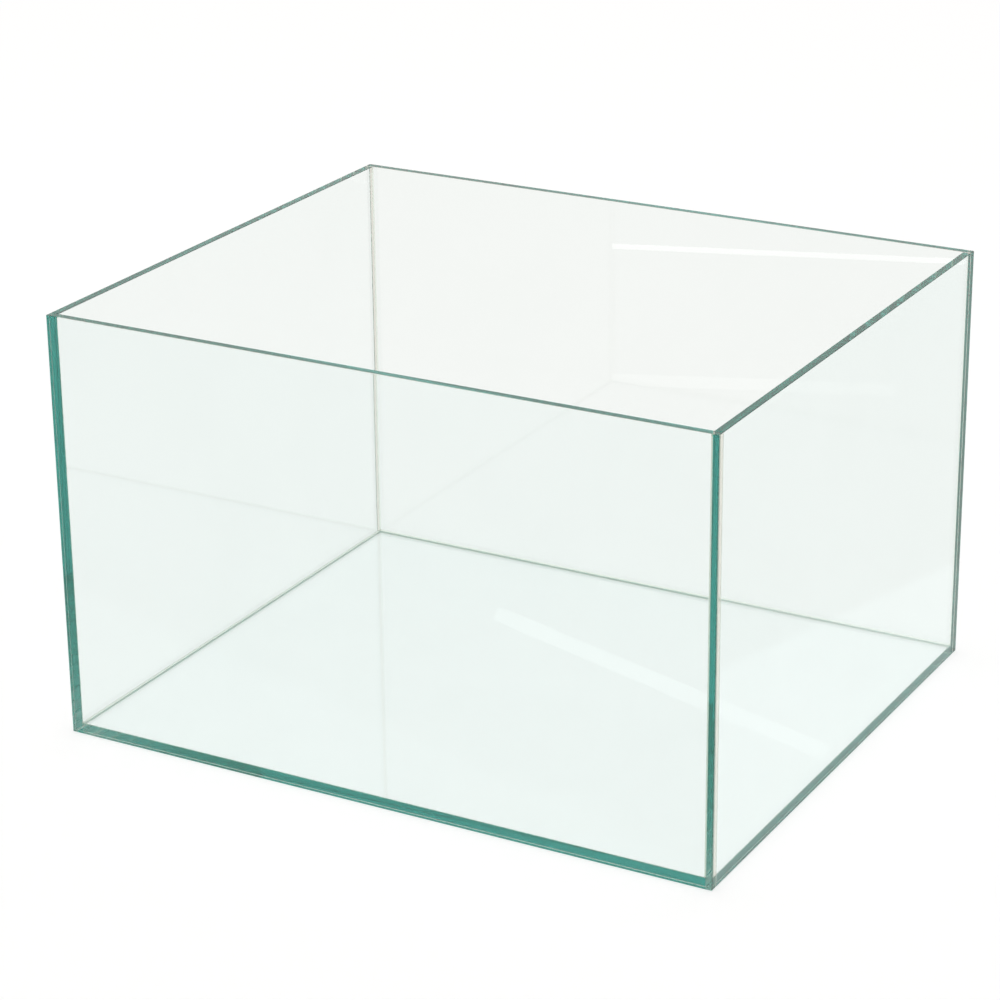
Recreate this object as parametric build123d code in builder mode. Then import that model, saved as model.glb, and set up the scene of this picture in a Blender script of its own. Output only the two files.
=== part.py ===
from build123d import *
import os

# Rimless glass aquarium, open at the top. Millimetres, +Z up, X along the long side, front pane towards -Y.
# The origin is the middle of the underside.

# Driving dimensions
tank_width = 500.0  # outside, along X
tank_depth = 420.0  # outside, along Y
tank_height = 310.0  # outside, along Z
wall_glass = 6.0  # thickness of the four wall panes
base_glass = 6.0  # thickness of the base pane
arris = 0.3  # flat ground along every pane edge, measured on each face
joint_gap = 0.3  # sealant film between two panes
bead_grip = 0.3  # width of pane face that the inner bead holds past the arris
bead_hollow = 0.12  # how deep the tooled face of the bead dips below a straight bevel
rim_setback = 0.3  # the upright seams stop this far below the rim
foot_setback = 0.3  # the sealant stops this far above the underside

# Sizes worked out from them
inner_width = tank_width - 2 * wall_glass
inner_depth = tank_depth - 2 * wall_glass
base_width = inner_width - 2 * joint_gap
base_depth = inner_depth - 2 * joint_gap
side_length = inner_depth - 2 * joint_gap
bead_reach = joint_gap + arris + bead_grip
bead_middle = bead_reach / 2 - bead_hollow / 2**0.5


def pane(width, depth, height):
    """A cut pane standing on the origin, with an arris ground along its twelve edges."""
    with BuildPart() as blank:
        with BuildSketch(Plane.XY):
            Rectangle(width, depth)
        extrude(amount=height)
        chamfer(blank.edges(), length=arris)
    return blank.part


def base_run(length):
    """Sealant along one edge of the base, on a wall face at Y=0 with the tank on its +Y side, mitred at both ends."""
    with BuildPart() as run:
        with BuildSketch(Plane.YZ):
            with BuildLine():
                Polyline(
                    (0, base_glass + bead_reach),
                    (0, foot_setback),
                    (joint_gap, foot_setback),
                    (joint_gap, base_glass - arris),
                    (joint_gap + arris, base_glass),
                    (bead_reach, base_glass),
                )
                ThreePointArc(
                    (bead_reach, base_glass),
                    (bead_middle, base_glass + bead_middle),
                    (0, base_glass + bead_reach),
                )
            make_face()
        extrude(amount=length / 2, both=True)
        with BuildSketch(Plane.XY):
            Polygon(
                (-length / 2, 0),
                (length / 2, 0),
                (length / 2 - bead_reach, bead_reach),
                (-length / 2 + bead_reach, bead_reach),
                align=None,
            )
        extrude(amount=base_glass + bead_reach, mode=Mode.INTERSECT)
    return run.part


# Wall panes: the front and back ones span the full width, and the side ones stand between them
wall_blank = pane(tank_width, wall_glass, tank_height)
with BuildPart() as front_pane:
    with Locations((0, -(inner_depth + wall_glass) / 2, 0)):
        add(wall_blank)
front_pane.part.label = "front_pane"

with BuildPart() as back_pane:
    mirror(front_pane.part, about=Plane.XZ)
back_pane.part.label = "back_pane"

side_blank = pane(wall_glass, side_length, tank_height)
with BuildPart() as left_pane:
    with Locations((-(inner_width + wall_glass) / 2, 0, 0)):
        add(side_blank)
left_pane.part.label = "left_pane"

with BuildPart() as right_pane:
    mirror(left_pane.part, about=Plane.YZ)
right_pane.part.label = "right_pane"

# Base pane: lies inside the four walls, its underside level with their lower edges
base_blank = pane(base_width, base_depth, base_glass)
with BuildPart() as base_pane:
    add(base_blank)
base_pane.part.label = "base_pane"

# Sealant round the base
front_run = base_run(inner_width)
with BuildPart() as seam_base_front:
    with Locations((0, -inner_depth / 2, 0)):
        add(front_run)
seam_base_front.part.label = "seam_base_front"

with BuildPart() as seam_base_back:
    mirror(seam_base_front.part, about=Plane.XZ)
seam_base_back.part.label = "seam_base_back"

side_run = base_run(inner_depth)
with BuildPart() as seam_base_left:
    with Locations(Location((-inner_width / 2, 0, 0), (0, 0, -90))):
        add(side_run)
seam_base_left.part.label = "seam_base_left"

with BuildPart() as seam_base_right:
    mirror(seam_base_left.part, about=Plane.YZ)
seam_base_right.part.label = "seam_base_right"

# Upright sealant, drawn in plan from the corner where the two inner wall faces meet
front_left_corner = Plane((-inner_width / 2, -inner_depth / 2, 0))
with BuildPart() as seam_front_left:
    # the film, from just above the underside to just below the rim, wiped level with the outer face
    with BuildSketch(front_left_corner.offset(foot_setback)):
        with BuildLine():
            Polyline(
                (0, 0),
                (arris - wall_glass, 0),
                (-wall_glass, -arris),
                (-wall_glass, joint_gap + arris),
                (arris - wall_glass, joint_gap),
                (-arris, joint_gap),
                (0, joint_gap + arris),
                close=True,
            )
        make_face()
    extrude(amount=tank_height - foot_setback - rim_setback)
    # the inner bead, from the base to just below the rim
    with BuildSketch(front_left_corner.offset(base_glass)):
        with BuildLine():
            Polyline((0, bead_reach), (0, 0), (bead_reach, 0))
            ThreePointArc((bead_reach, 0), (bead_middle, bead_middle), (0, bead_reach))
        make_face()
    extrude(amount=tank_height - base_glass - rim_setback)
    # it runs down onto the sealant round the base
    add(seam_base_front.part, mode=Mode.SUBTRACT)
    add(seam_base_left.part, mode=Mode.SUBTRACT)
seam_front_left.part.label = "seam_front_left"

with BuildPart() as seam_front_right:
    mirror(seam_front_left.part, about=Plane.YZ)
seam_front_right.part.label = "seam_front_right"

with BuildPart() as seam_back_left:
    mirror(seam_front_left.part, about=Plane.XZ)
seam_back_left.part.label = "seam_back_left"

with BuildPart() as seam_back_right:
    mirror(seam_front_right.part, about=Plane.XZ)
seam_back_right.part.label = "seam_back_right"

# One file for each piece, named by its label
panes = (front_pane, back_pane, left_pane, right_pane, base_pane)
base_seams = (seam_base_front, seam_base_back, seam_base_left, seam_base_right)
upright_seams = (seam_front_left, seam_front_right, seam_back_left, seam_back_right)
os.makedirs("parts", exist_ok=True)
for piece in panes + base_seams + upright_seams:
    export_step(piece.part, f"parts/{piece.part.label}.step")
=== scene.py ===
from math import cos, pi, radians, sin, tau

import bmesh
import bpy
from mathutils import Matrix, Quaternion, Vector


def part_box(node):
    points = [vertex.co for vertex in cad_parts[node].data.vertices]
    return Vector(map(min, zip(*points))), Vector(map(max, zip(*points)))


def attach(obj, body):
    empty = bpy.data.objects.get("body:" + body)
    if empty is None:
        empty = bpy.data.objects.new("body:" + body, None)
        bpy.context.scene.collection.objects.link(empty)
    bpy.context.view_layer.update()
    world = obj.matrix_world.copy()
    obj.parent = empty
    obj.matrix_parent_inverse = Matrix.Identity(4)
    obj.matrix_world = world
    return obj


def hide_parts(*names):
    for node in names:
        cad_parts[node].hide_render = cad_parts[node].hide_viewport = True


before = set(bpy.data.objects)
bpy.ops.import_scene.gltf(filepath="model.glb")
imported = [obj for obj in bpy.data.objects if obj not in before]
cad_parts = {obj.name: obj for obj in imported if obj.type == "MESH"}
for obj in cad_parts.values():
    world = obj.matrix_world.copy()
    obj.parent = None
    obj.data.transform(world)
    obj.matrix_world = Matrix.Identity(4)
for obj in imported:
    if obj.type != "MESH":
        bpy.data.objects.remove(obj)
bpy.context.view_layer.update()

# Metres, in the row's frame: the front pane faces -Y and the tank stands on z = 0.
scene = bpy.context.scene
mm = 0.001

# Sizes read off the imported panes
front_low, front_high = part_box("front_pane")
side_low, side_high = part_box("left_pane")
base_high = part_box("base_pane")[1]
tank_width = front_high.x - front_low.x
tank_depth = -2 * front_low.y
tank_height = front_high.z
wall_glass = front_high.y - front_low.y
base_glass = base_high.z
inner_x = side_high.x  # inner face of the left pane, at negative X
inner_y = front_high.y  # inner face of the front pane, at negative Y
joint_gap = side_low.y - inner_y

# Sealant sizes that the boxes of the panes don't tell
arris = 0.3 * mm
bead_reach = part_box("seam_base_front")[1].z - base_glass
seam_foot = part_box("seam_base_front")[0].z
seam_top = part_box("seam_front_left")[1].z
bite = 0.05 * mm  # the sealant reaches this far into the glass, so that no air is left between them
hair = 0.02 * mm  # how close to a face a point counts as on it
far = 1.0  # beyond the tank, whichever way


# Small helpers for node trees
def new_material(name):
    material = bpy.data.materials.new(name)
    material.use_nodes = True
    nodes = material.node_tree.nodes
    nodes.clear()
    return material, nodes, material.node_tree.links


def add_node(nodes, kind, **settings):
    node = nodes.new(kind)
    for key, value in settings.items():
        setattr(node, key, value)
    return node


def noise(nodes, links, place, scale, detail):
    node = add_node(nodes, "ShaderNodeTexNoise")
    node.inputs["Scale"].default_value = scale
    node.inputs["Detail"].default_value = detail
    links.new(place, node.inputs["Vector"])
    return node.outputs["Fac"]


def spread(nodes, links, source, low, high, out_low, out_high):
    """Maps source from low..high to out_low..out_high, held at both ends."""
    node = add_node(nodes, "ShaderNodeMapRange", clamp=True)
    node.inputs["From Min"].default_value = low
    node.inputs["From Max"].default_value = high
    node.inputs["To Min"].default_value = out_low
    node.inputs["To Max"].default_value = out_high
    links.new(source, node.inputs["Value"])
    return node.outputs["Result"]


def separate(nodes, links, vector):
    node = add_node(nodes, "ShaderNodeSeparateXYZ")
    links.new(vector, node.inputs["Vector"])
    return node.outputs["X"], node.outputs["Y"], node.outputs["Z"]


def math_node(nodes, links, operation, *values):
    """One step of arithmetic. Each value is a number or the socket of another node."""
    node = add_node(nodes, "ShaderNodeMath", operation=operation)
    for socket, value in zip(node.inputs, values):
        if isinstance(value, bpy.types.NodeSocket):
            links.new(value, socket)
        else:
            socket.default_value = value
    return node.outputs["Value"]


def absolute(nodes, links, value):
    return math_node(nodes, links, "ABSOLUTE", value)


def greatest(nodes, links, *values):
    result = values[0]
    for value in values[1:]:
        result = math_node(nodes, links, "MAXIMUM", result, value)
    return result


def product(nodes, links, *values):
    result = values[0]
    for value in values[1:]:
        result = math_node(nodes, links, "MULTIPLY", result, value)
    return result


def between(nodes, links, value, low, high):
    """1 where value lies between low and high."""
    above = math_node(nodes, links, "GREATER_THAN", value, low)
    below = math_node(nodes, links, "LESS_THAN", value, high)
    return math_node(nodes, links, "MULTIPLY", above, below)


def box_mask(nodes, links, axes, limits):
    """1 inside a box, given as (low, high) for each of the three axes."""
    mask = None
    for value, (low, high) in zip(axes, limits):
        inside = between(nodes, links, value, low, high)
        mask = inside if mask is None else math_node(nodes, links, "MULTIPLY", mask, inside)
    return mask


def quarter_axes(nodes, links, place):
    """Distance from the middle along X and Y, and the height. A quarter of the symmetric tank says all."""
    x, y, z = separate(nodes, links, place)
    return absolute(nodes, links, x), absolute(nodes, links, y), z


def wetted_mask(nodes, links, place):
    """1 where sealant wets the glass."""
    axes = quarter_axes(nodes, links, place)  # across, along and height
    inner_across = -inner_x
    inner_along = -inner_y
    bead_top = base_glass + bead_reach
    upright = (
        (inner_across - bead_reach, tank_width / 2 - arris),
        (inner_along - bead_reach, inner_along + hair),
        (seam_foot, seam_top),
    )
    groove = (
        (tank_width / 2 - arris - hair, tank_width / 2 - hair),
        (inner_along - joint_gap - arris - hair, inner_along + arris + hair),
        (seam_foot, seam_top),
    )
    at_long_sides = (
        (-far, inner_across),
        (inner_along - bead_reach, inner_along + hair),
        (seam_foot, bead_top),
    )
    at_short_sides = (
        (inner_across - bead_reach, inner_across + hair),
        (-far, inner_along),
        (seam_foot, bead_top),
    )
    masks = [box_mask(nodes, links, axes, box) for box in (upright, groove, at_long_sides, at_short_sides)]
    return greatest(nodes, links, *masks)


square_on = 0.9  # a face that looks along an axis has at least this much of its normal along it


def arris_mask(nodes, links):
    """1 on the ground arrises, whose faces lie aslant."""
    normal = add_node(nodes, "ShaderNodeTexCoord").outputs["Normal"]
    slants = [absolute(nodes, links, part) for part in separate(nodes, links, normal)]
    return math_node(nodes, links, "LESS_THAN", greatest(nodes, links, *slants), square_on)


def cut_edge_mask(nodes, links, place):
    """1 on the open cut edges of the wall panes: the rim, the feet, and the front and back panes' ends."""
    across, along, height = quarter_axes(nodes, links, place)
    rim = math_node(nodes, links, "GREATER_THAN", height, tank_height - hair)
    low = math_node(nodes, links, "LESS_THAN", height, hair)
    past_sides = math_node(nodes, links, "GREATER_THAN", across, -inner_x)
    past_ends = math_node(nodes, links, "GREATER_THAN", along, -inner_y)
    feet = product(nodes, links, low, greatest(nodes, links, past_sides, past_ends))
    outermost = math_node(nodes, links, "GREATER_THAN", across, tank_width / 2 - hair)
    ends = product(nodes, links, outermost, past_ends)
    return greatest(nodes, links, rim, feet, ends)


def mix_shaders(nodes, links, share, first, second):
    node = add_node(nodes, "ShaderNodeMixShader")
    links.new(share, node.inputs["Fac"])
    links.new(first, node.inputs[1])
    links.new(second, node.inputs[2])
    return node.outputs["Shader"]


# Glass
# painted shade: the colour that darkens the arrises and cut edges and takes green out of them
cut_edge_shade_colour = (0.90, 0.78, 0.72, 1.0)
dust_cover = 0.008  # largest share of a face that dust hides


def glass_material():
    """Clear float glass, green through its length. Its arrises are ground satin. Painted shade darkens its
    arrises and cut edges and takes green out of them.
    Where sealant wets it, light goes on without bending."""
    material, nodes, links = new_material("float_glass")
    place = add_node(nodes, "ShaderNodeTexCoord").outputs["Object"]
    glass = add_node(nodes, "ShaderNodeBsdfPrincipled")
    glass.inputs["Transmission Weight"].default_value = 1.0
    glass.inputs["IOR"].default_value = 1.52
    on_arris = arris_mask(nodes, links)
    on_cut = greatest(nodes, links, on_arris, cut_edge_mask(nodes, links, place))
    # painted shade on the arrises and cut edges
    painted_edge_shade = add_node(nodes, "ShaderNodeMix", data_type="RGBA")
    links.new(on_cut, painted_edge_shade.inputs["Factor"])
    painted_edge_shade.inputs["A"].default_value = (1.0, 1.0, 1.0, 1.0)
    painted_edge_shade.inputs["B"].default_value = cut_edge_shade_colour
    links.new(painted_edge_shade.outputs["Result"], glass.inputs["Base Color"])
    grain = noise(nodes, links, place, scale=900.0, detail=3.0)
    grinding = spread(nodes, links, grain, low=0.3, high=0.7, out_low=0.25, out_high=0.38)
    links.new(product(nodes, links, on_arris, grinding), glass.inputs["Roughness"])
    ripple = add_node(nodes, "ShaderNodeBump")
    ripple.inputs["Strength"].default_value = 0.02
    ripple.inputs["Distance"].default_value = 1 * mm
    links.new(noise(nodes, links, place, scale=9.0, detail=1.0), ripple.inputs["Height"])
    links.new(ripple.outputs["Normal"], glass.inputs["Normal"])

    # a trace of dust and wiping marks on the faces
    dust = add_node(nodes, "ShaderNodeBsdfDiffuse")
    dust.inputs["Color"].default_value = (0.62, 0.63, 0.62, 1.0)
    wiping = noise(nodes, links, place, scale=11.0, detail=4.0)
    patches = spread(nodes, links, wiping, low=0.45, high=0.75, out_low=0.0, out_high=dust_cover)
    dusty = mix_shaders(nodes, links, patches, glass.outputs["BSDF"], dust.outputs["BSDF"])

    # where it is wetted, and what it lets through to its shadow
    joined = add_node(nodes, "ShaderNodeBsdfTransparent")
    shade = add_node(nodes, "ShaderNodeBsdfTransparent")
    shade.inputs["Color"].default_value = (0.93, 0.96, 0.95, 1.0)
    path = add_node(nodes, "ShaderNodeLightPath")
    surface = mix_shaders(nodes, links, wetted_mask(nodes, links, place), dusty, joined.outputs["BSDF"])
    surface = mix_shaders(nodes, links, path.outputs["Is Shadow Ray"], surface, shade.outputs["BSDF"])

    # the green of its length
    absorb = add_node(nodes, "ShaderNodeVolumeAbsorption")
    absorb.inputs["Color"].default_value = (0.20, 0.74, 0.71, 1.0)
    absorb.inputs["Density"].default_value = 10.0
    out = add_node(nodes, "ShaderNodeOutputMaterial")
    links.new(surface, out.inputs["Surface"])
    links.new(absorb.outputs["Volume"], out.inputs["Volume"])
    return material


# Sealant
def free_face_mask(nodes, links, place):
    """1 on the sealant's free faces, 0 where it holds to glass or runs on into the next seam."""
    axes = quarter_axes(nodes, links, place)  # across, along and height
    across = axes[0]
    height = axes[2]
    inside_limits = ((-far, -inner_x - hair), (-far, -inner_y - hair), (base_glass + hair, far))
    inside_tank = box_mask(nodes, links, axes, inside_limits)
    top_end = math_node(nodes, links, "GREATER_THAN", height, seam_top - hair)
    lower_end = math_node(nodes, links, "LESS_THAN", height, seam_foot + hair)
    outer_edge = math_node(nodes, links, "GREATER_THAN", across, tank_width / 2 - hair)
    return greatest(nodes, links, inside_tank, top_end, lower_end, outer_edge)


def sealant_material(name, haze_density):
    """Clear silicone: cream against the light, milky where light falls on it, satin on its free faces."""
    material, nodes, links = new_material(name)
    place = add_node(nodes, "ShaderNodeTexCoord").outputs["Object"]
    silicone = add_node(nodes, "ShaderNodeBsdfPrincipled")
    silicone.inputs["Base Color"].default_value = (0.88, 0.92, 0.84, 1.0)
    silicone.inputs["Transmission Weight"].default_value = 0.3
    silicone.inputs["IOR"].default_value = 1.41
    mottle = noise(nodes, links, place, scale=260.0, detail=3.0)
    skin = spread(nodes, links, mottle, low=0.3, high=0.7, out_low=0.04, out_high=0.14)
    links.new(skin, silicone.inputs["Roughness"])
    tooling = add_node(nodes, "ShaderNodeBump")
    tooling.inputs["Strength"].default_value = 0.25
    tooling.inputs["Distance"].default_value = 0.05 * mm
    links.new(noise(nodes, links, place, scale=420.0, detail=2.0), tooling.inputs["Height"])
    links.new(tooling.outputs["Normal"], silicone.inputs["Normal"])

    # where it holds to glass, and what it lets through to its shadow
    joined = add_node(nodes, "ShaderNodeBsdfTransparent")
    shade = add_node(nodes, "ShaderNodeBsdfTransparent")
    shade.inputs["Color"].default_value = (0.95, 0.95, 0.93, 1.0)
    path = add_node(nodes, "ShaderNodeLightPath")
    free = free_face_mask(nodes, links, place)
    surface = mix_shaders(nodes, links, free, joined.outputs["BSDF"], silicone.outputs["BSDF"])
    surface = mix_shaders(nodes, links, path.outputs["Is Shadow Ray"], surface, shade.outputs["BSDF"])

    # the cream and the milk of its body
    absorb = add_node(nodes, "ShaderNodeVolumeAbsorption")
    absorb.inputs["Color"].default_value = (0.30, 0.46, 0.12, 1.0)
    absorb.inputs["Density"].default_value = 120.0
    haze = add_node(nodes, "ShaderNodeVolumeScatter")
    haze.inputs["Color"].default_value = (0.80, 0.85, 1.0, 1.0)
    haze.inputs["Density"].default_value = haze_density
    body = add_node(nodes, "ShaderNodeAddShader")
    links.new(absorb.outputs["Volume"], body.inputs[0])
    links.new(haze.outputs["Volume"], body.inputs[1])
    out = add_node(nodes, "ShaderNodeOutputMaterial")
    links.new(surface, out.inputs["Surface"])
    links.new(body.outputs["Shader"], out.inputs["Volume"])
    return material


glass = glass_material()
sealant = sealant_material("clear_silicone", haze_density=40.0)
bedding = sealant_material("milky_silicone", haze_density=600.0)  # between the base and the side panes

for name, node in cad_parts.items():
    if name.endswith("_pane"):
        for material_slot in node.material_slots:
            material_slot.material = glass


# Sealant seams
# A seam is drawn in its section, in metres from the inner corner that it fills: u along one glass face into
# the tank, v along the other. It is swept along its length, and its free face wanders as a tooled bead does.
arc_steps = 6
bead_hollow = 0.12 * mm
wander = 0.04 * mm  # how far the bead's face strays from its usual hollow
slow_wave = 137 * mm
slow_share = 0.65
fast_wave = 43 * mm
fast_share = 0.35
fast_phase = 2.3  # keeps the two waves out of step from seam to seam
section_spacing = 5 * mm
bite_at_bevel = 0.414 * bite  # the bite, measured along a face that ends at a 45 degree bevel


def bead_arc(hollow):
    """The hollow free face, from the glass at u = bead_reach to the glass at v = bead_reach."""
    control = bead_reach / 2 - hollow * 2**0.5
    points = [(bead_reach, -bite)]
    for step in range(arc_steps + 1):
        t = step / arc_steps
        u = (1 - t) ** 2 * bead_reach + 2 * t * (1 - t) * control
        v = t**2 * bead_reach + 2 * t * (1 - t) * control
        points.append((u, v))
    points.append((-bite, bead_reach))
    return points


def tooled(along, phase):
    """How deep the bead's face is hollowed at a place along the seam."""
    slow = sin(tau * along / slow_wave + phase)
    fast = sin(tau * along / fast_wave + fast_phase * phase)
    return bead_hollow + wander * (slow_share * slow + fast_share * fast)


def finish_piece(name, mesh_data, node, material):
    """The mesh as a visible piece of the tank, in place of its plain solid."""
    for face in mesh_data.faces:
        face.smooth = True
    bmesh.ops.recalc_face_normals(mesh_data, faces=mesh_data.faces)
    mesh = bpy.data.meshes.new(name)
    mesh_data.to_mesh(mesh)
    mesh_data.free()
    piece = bpy.data.objects.new(name, mesh)
    scene.collection.objects.link(piece)
    mesh.materials.append(material)
    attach(piece, "root")
    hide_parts(node)


def ring_walls(mesh_data, rings):
    """Walls between successive rings of points."""
    for lower, upper in zip(rings, rings[1:]):
        count = len(lower)
        for i in range(count):
            j = (i + 1) % count
            mesh_data.faces.new((lower[i], lower[j], upper[j], upper[i]))


def base_seam(name, length, turn, wall_distance, phase, material):
    """Sealant between a wall and the base, with its inner bead, mitred at both ends. It is drawn along the
    front pane and turned about the upright axis. The phase sets how its bead wanders."""
    seam = bmesh.new()
    half = length / 2
    count = max(2, round(length / section_spacing))
    rings = []
    for k in range(count + 1):
        along = -half + length * k / count
        section = [
            (-bite, seam_foot),
            (joint_gap + bite, seam_foot),
            (joint_gap + bite, base_glass - arris - bite_at_bevel),
            (joint_gap + arris + bite_at_bevel, base_glass - bite),
        ]
        for u, v in bead_arc(tooled(along, phase)):
            section.append((u, base_glass + v))
        ring = []
        for off_wall, z in section:
            mitred_half = half - off_wall + bite
            x = along
            if k == 0:
                x = -mitred_half
            if k == count:
                x = mitred_half
            place = Vector((x, off_wall - wall_distance, z))
            place.rotate(Quaternion((0, 0, 1), turn))
            ring.append(seam.verts.new(place))
        rings.append(ring)
    ring_walls(seam, rings)
    for end in (rings[0], rings[-1]):
        seam.faces.new(end)
    finish_piece(name + "_bead", seam, name, material)


def upright_seam(name, side_x, side_y, phase):
    """Sealant in an upright joint: the film between the panes and the bead inside, standing on the base's
    sealant. It is drawn for the front left corner, and side_x and side_y of -1 mirror it to the others."""
    seam = bmesh.new()
    step_z = base_glass - bite
    outer = [
        (arris - wall_glass, -bite),
        (-wall_glass, -arris - bite_at_bevel),
        (-wall_glass, joint_gap + arris + bite_at_bevel),
        (arris - wall_glass, joint_gap + bite),
        (-arris - bite_at_bevel, joint_gap + bite),
        (-bite, joint_gap + arris + bite_at_bevel),
    ]
    inner_cut = [(bite, joint_gap + arris + bite_at_bevel), (bite, -bite)]

    def vertex(point, z):
        u, v = point
        return seam.verts.new((side_x * (inner_x + u), side_y * (inner_y + v), z))

    outer_low = [vertex(p, seam_foot) for p in outer]
    cut_low = [vertex(p, seam_foot) for p in inner_cut]
    outer_step = [vertex(p, step_z) for p in outer]
    cut_step = [vertex(p, step_z) for p in inner_cut]
    ring_walls(seam, [outer_low + cut_low, outer_step + cut_step])
    seam.faces.new(outer_low + cut_low)
    count = round((seam_top - step_z) / section_spacing)
    rings = []
    for k in range(count + 1):
        z = step_z + (seam_top - step_z) * k / count
        bead = bead_arc(tooled(z, phase))[::-1]
        if k == 0:
            first_bead = [vertex(p, z) for p in bead]
            rings.append(outer_step + first_bead)
        else:
            rings.append([vertex(p, z) for p in outer + bead])
    ring_walls(seam, rings)
    seam.faces.new(rings[-1])
    seam.faces.new([outer_step[-1]] + first_bead + [outer_step[0], cut_step[1], cut_step[0]])
    finish_piece(name + "_bead", seam, name, sealant)


inner_width = -2 * inner_x
inner_depth = -2 * inner_y
base_seam("seam_base_front", inner_width, turn=0, wall_distance=-inner_y, phase=0.4, material=sealant)
base_seam("seam_base_back", inner_width, turn=pi, wall_distance=-inner_y, phase=1.9, material=sealant)
base_seam("seam_base_left", inner_depth, turn=-pi / 2, wall_distance=-inner_x, phase=3.1, material=bedding)
base_seam("seam_base_right", inner_depth, turn=pi / 2, wall_distance=-inner_x, phase=4.6, material=bedding)
upright_seam("seam_front_left", side_x=1, side_y=1, phase=0.9)
upright_seam("seam_front_right", side_x=-1, side_y=1, phase=2.2)
upright_seam("seam_back_left", side_x=1, side_y=-1, phase=3.7)
upright_seam("seam_back_right", side_x=-1, side_y=-1, phase=5.3)


# Floor
camera_lift = 0.08  # what the table gives the camera besides its own shading
share_to_camera = 0.6  # how far the camera sees it as plain white
share_in_glass = 0.7  # how far glass shows it as evenly lit
dimmed_under_walls = 0.75
shade_spread = 1 * mm  # past the outer faces of the walls
# painted light: a paler patch of table in front of the tank and to its right, which only mirror reflections
# show
painted_glow_colour = (0.17, 0.20, 0.21, 1.0)  # on top of the table's
painted_glow_turn = radians(16.0)
painted_glow_right = 0.402  # its right edge, along its own turned axis
painted_glow_front = -0.292  # its front edge, likewise
painted_glow_soft = 6 * mm
floor_drop = 0.3 * mm  # keeps the table clear of the feet
floor_half = 12.0  # from the middle of the table to its edge


def under_walls_mask(nodes, links, place):
    """1 on the table under the four wall panes, where little light gets."""
    across, along = quarter_axes(nodes, links, place)[:2]
    footprint = (
        math_node(nodes, links, "LESS_THAN", across, tank_width / 2 + shade_spread),
        math_node(nodes, links, "LESS_THAN", along, tank_depth / 2 + shade_spread),
    )
    past_sides = math_node(nodes, links, "GREATER_THAN", across, -inner_x)
    past_ends = math_node(nodes, links, "GREATER_THAN", along, -inner_y)
    return product(nodes, links, *footprint, greatest(nodes, links, past_sides, past_ends))


def painted_glow_mask(nodes, links, place):
    """1 on a patch of painted light on the table, askew, in front of the tank and to its right. Only mirror
    reflections show it, in the front and right panes."""
    x, y = separate(nodes, links, place)[:2]
    along_x = product(nodes, links, x, cos(painted_glow_turn))
    turned_x = math_node(nodes, links, "MULTIPLY_ADD", y, sin(painted_glow_turn), along_x)
    along_y = product(nodes, links, x, -sin(painted_glow_turn))
    turned_y = math_node(nodes, links, "MULTIPLY_ADD", y, cos(painted_glow_turn), along_y)
    right_edge = spread(nodes, links, turned_x, painted_glow_right - painted_glow_soft, painted_glow_right + painted_glow_soft, 1.0, 0.0)
    front_edge = spread(nodes, links, turned_y, painted_glow_front - painted_glow_soft, painted_glow_front + painted_glow_soft, 0.0, 1.0)
    beside = spread(nodes, links, x, tank_width / 2, tank_width / 2 + painted_glow_soft, 0.0, 1.0)
    before = spread(nodes, links, y, -tank_depth / 2 - painted_glow_soft, -tank_depth / 2, 1.0, 0.0)
    return product(nodes, links, right_edge, front_edge, greatest(nodes, links, beside, before))


def floor_material():
    """Matt white table, partly lit from below. The light from below shows to the camera and in glass, and
    lights nothing, so the tank's shadow stays on the table."""
    material, nodes, links = new_material("table_white")
    place = add_node(nodes, "ShaderNodeTexCoord").outputs["Object"]
    table = add_node(nodes, "ShaderNodeBsdfPrincipled")
    table.inputs["Base Color"].default_value = (0.935, 0.925, 0.915, 1.0)
    table.inputs["Roughness"].default_value = 0.9
    table.inputs["Specular IOR Level"].default_value = 0.0
    table.inputs["Emission Color"].default_value = (0.80, 0.86, 1.0, 1.0)
    path = add_node(nodes, "ShaderNodeLightPath")
    lift = product(nodes, links, path.outputs["Is Camera Ray"], camera_lift)
    links.new(lift, table.inputs["Emission Strength"])

    # what glass shows of it
    in_glass = add_node(nodes, "ShaderNodeEmission")
    in_glass.inputs["Color"].default_value = (0.96, 0.952, 0.93, 1.0)
    ray_in_glass = greatest(nodes, links, path.outputs["Is Transmission Ray"], path.outputs["Is Glossy Ray"])
    in_shade = under_walls_mask(nodes, links, place)
    shading = math_node(nodes, links, "MULTIPLY_ADD", in_shade, -dimmed_under_walls, 1.0)
    share = product(nodes, links, ray_in_glass, shading, share_in_glass)
    surface = mix_shaders(nodes, links, share, table.outputs["BSDF"], in_glass.outputs["Emission"])
    # painted light on a patch of the table, shown only to mirror reflections
    painted_glow = add_node(nodes, "ShaderNodeEmission")
    painted_glow.inputs["Color"].default_value = painted_glow_colour
    not_through = math_node(nodes, links, "SUBTRACT", 1.0, path.outputs["Is Transmission Ray"])
    mirrored = product(nodes, links, path.outputs["Is Glossy Ray"], not_through)
    links.new(product(nodes, links, mirrored, painted_glow_mask(nodes, links, place)), painted_glow.inputs["Strength"])
    lit = add_node(nodes, "ShaderNodeAddShader")
    links.new(surface, lit.inputs[0])
    links.new(painted_glow.outputs["Emission"], lit.inputs[1])

    # what the camera sees of it
    white = add_node(nodes, "ShaderNodeEmission")
    share = product(nodes, links, path.outputs["Is Camera Ray"], share_to_camera)
    surface = mix_shaders(nodes, links, share, lit.outputs["Shader"], white.outputs["Emission"])
    out = add_node(nodes, "ShaderNodeOutputMaterial")
    links.new(surface, out.inputs["Surface"])
    return material


floor_data = bmesh.new()
bmesh.ops.create_grid(floor_data, x_segments=1, y_segments=1, size=floor_half)
floor_mesh = bpy.data.meshes.new("table")
floor_data.to_mesh(floor_mesh)
floor_data.free()
floor = bpy.data.objects.new("table", floor_mesh)
floor.location = (0, 0, -floor_drop)
scene.collection.objects.link(floor)
floor_mesh.materials.append(floor_material())

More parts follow.
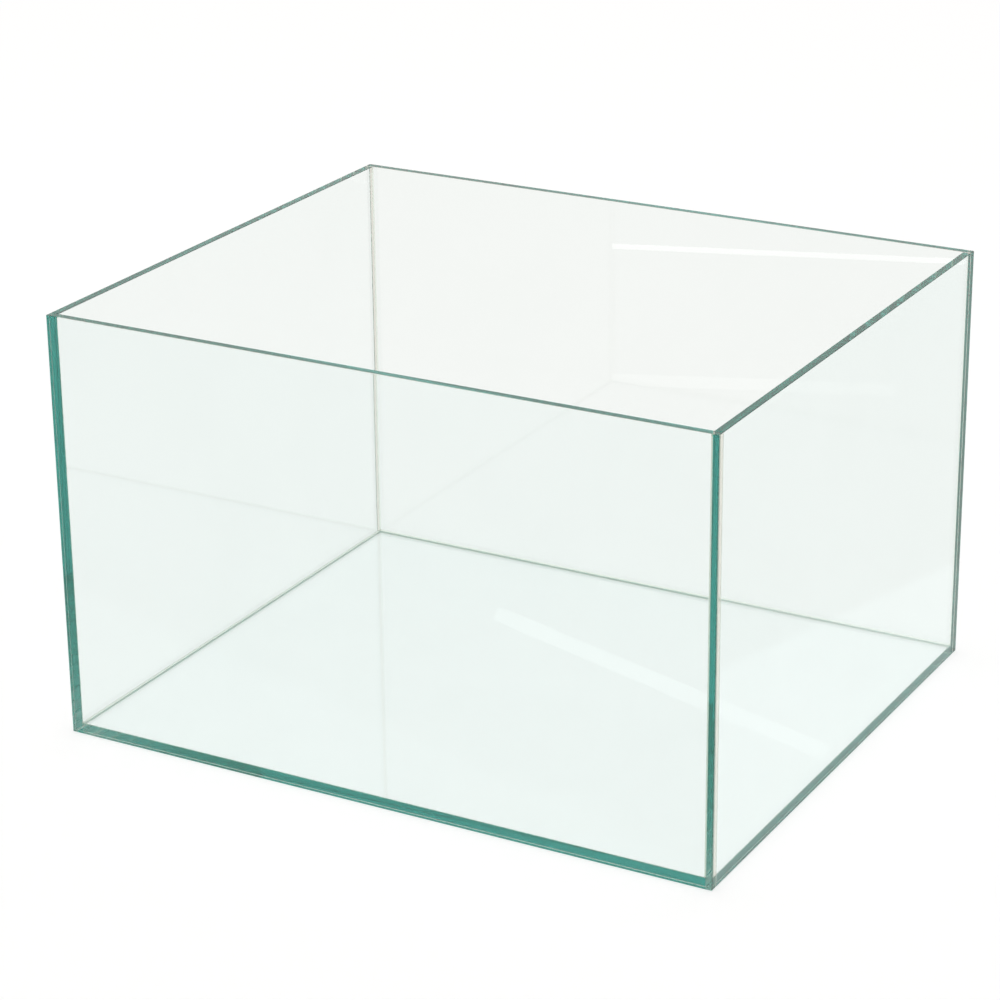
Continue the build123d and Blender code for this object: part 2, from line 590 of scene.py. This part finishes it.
# World: white to the camera, pale studio paper to the glass
world = bpy.data.worlds.new("studio")
scene.world = world
world.use_nodes = True
nodes = world.node_tree.nodes
links = world.node_tree.links
nodes.clear()
paper = add_node(nodes, "ShaderNodeBackground")
paper.inputs["Color"].default_value = (0.955, 0.94, 0.925, 1.0)
white = add_node(nodes, "ShaderNodeBackground")
white.inputs["Color"].default_value = (1.0, 1.0, 1.0, 1.0)
path = add_node(nodes, "ShaderNodeLightPath")
either = add_node(nodes, "ShaderNodeMixShader")
out = add_node(nodes, "ShaderNodeOutputWorld")
links.new(path.outputs["Is Camera Ray"], either.inputs["Fac"])
links.new(paper.outputs["Background"], either.inputs[1])
links.new(white.outputs["Background"], either.inputs[2])
links.new(either.outputs["Shader"], out.inputs["Surface"])

# Overhead softbox
lamp_data = bpy.data.lights.new("softbox", "AREA")
lamp_data.shape = "RECTANGLE"
lamp_data.size = 2.4
lamp_data.size_y = 1.8
lamp_data.energy = 8.0
lamp = bpy.data.objects.new("softbox", lamp_data)
lamp.location = (-0.6, 0.4, 2.6)
scene.collection.objects.link(lamp)

# Long lamps, mirrored in the base and the back pane as faint streaks
back_pane_only = bpy.data.collections.new("back_pane_only")
back_pane_only.objects.link(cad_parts["back_pane"])
watts_per_area = 4.0  # for a radiance of one


def long_lamp(name, start, end, width, radiance, facing):
    """A strip of light from start to end that faces one way, hidden from the camera."""
    along = (end - start).normalized()
    away = -(facing - facing.project(along)).normalized()
    lamp_data = bpy.data.lights.new(name, "AREA")
    lamp_data.shape = "RECTANGLE"
    lamp_data.size = (end - start).length
    lamp_data.size_y = width
    lamp_data.energy = radiance * watts_per_area * lamp_data.size * width
    lamp = bpy.data.objects.new(name, lamp_data)
    lamp.location = (start + end) / 2
    lamp.rotation_mode = "QUATERNION"
    lamp.rotation_quaternion = Matrix((along, away.cross(along), away)).transposed().to_quaternion()
    lamp.visible_camera = False
    scene.collection.objects.link(lamp)
    return lamp


# a lamp far behind the tank, with a brighter core, facing it
tube_start = Vector((-2.87, 5.06, 2.5))
tube_end = Vector((-1.74, 4.69, 2.5))
long_lamp("far_tube", tube_start, tube_end, width=0.04, radiance=0.20, facing=-tube_start)
long_lamp("far_tube_core", tube_start, tube_end, width=0.02, radiance=0.30, facing=-tube_start)

# two strips just inside the front pane, facing the back pane, each with its name, its start and end across
# and up the pane, its width and its radiance
strip_y = inner_y + 0.5 * mm
strips = (
    ("upper_strip", (-0.243, 0.134), (0.0974, 0.168), 0.005, 1.5),
    ("lower_strip", (-0.243, 0.007), (0.03, 0.042), 0.011, 0.45),
)
for name, (start_x, start_z), (end_x, end_z), width, radiance in strips:
    start = Vector((start_x, strip_y, start_z))
    end = Vector((end_x, strip_y, end_z))
    strip = long_lamp(name, start, end, width, radiance, Vector((0, 1, 0)))
    strip.visible_transmission = False
    strip.light_linking.receiver_collection = back_pane_only

# Camera
camera_place = Vector((1.0135, -1.8423, 0.9835))
camera_azimuth = radians(29.273)
camera_elevation = radians(21.662)
camera_roll = radians(-0.619)
camera_data = bpy.data.cameras.new("camera")
camera_data.sensor_width = 36.0
camera_data.lens = 114.91
camera_data.clip_start = 0.01
look = Vector(
    (
        -sin(camera_azimuth) * cos(camera_elevation),
        cos(camera_azimuth) * cos(camera_elevation),
        -sin(camera_elevation),
    )
)
camera = bpy.data.objects.new("camera", camera_data)
camera.location = camera_place
camera.rotation_mode = "QUATERNION"
camera.rotation_quaternion = look.to_track_quat("-Z", "Y") @ Quaternion((0, 0, 1), camera_roll)
scene.collection.objects.link(camera)
scene.camera = camera

# Light enters a pane at one edge and leaves at the other after dozens of inner reflections
bounces = 160
scene.cycles.max_bounces = bounces
scene.cycles.glossy_bounces = bounces
scene.cycles.transmission_bounces = bounces
scene.cycles.transparent_max_bounces = 256
scene.cycles.diffuse_bounces = 4
scene.cycles.volume_bounces = 4
scene.cycles.blur_glossy = 0.0
scene.cycles.use_denoising = True
scene.view_settings.view_transform = "Standard"
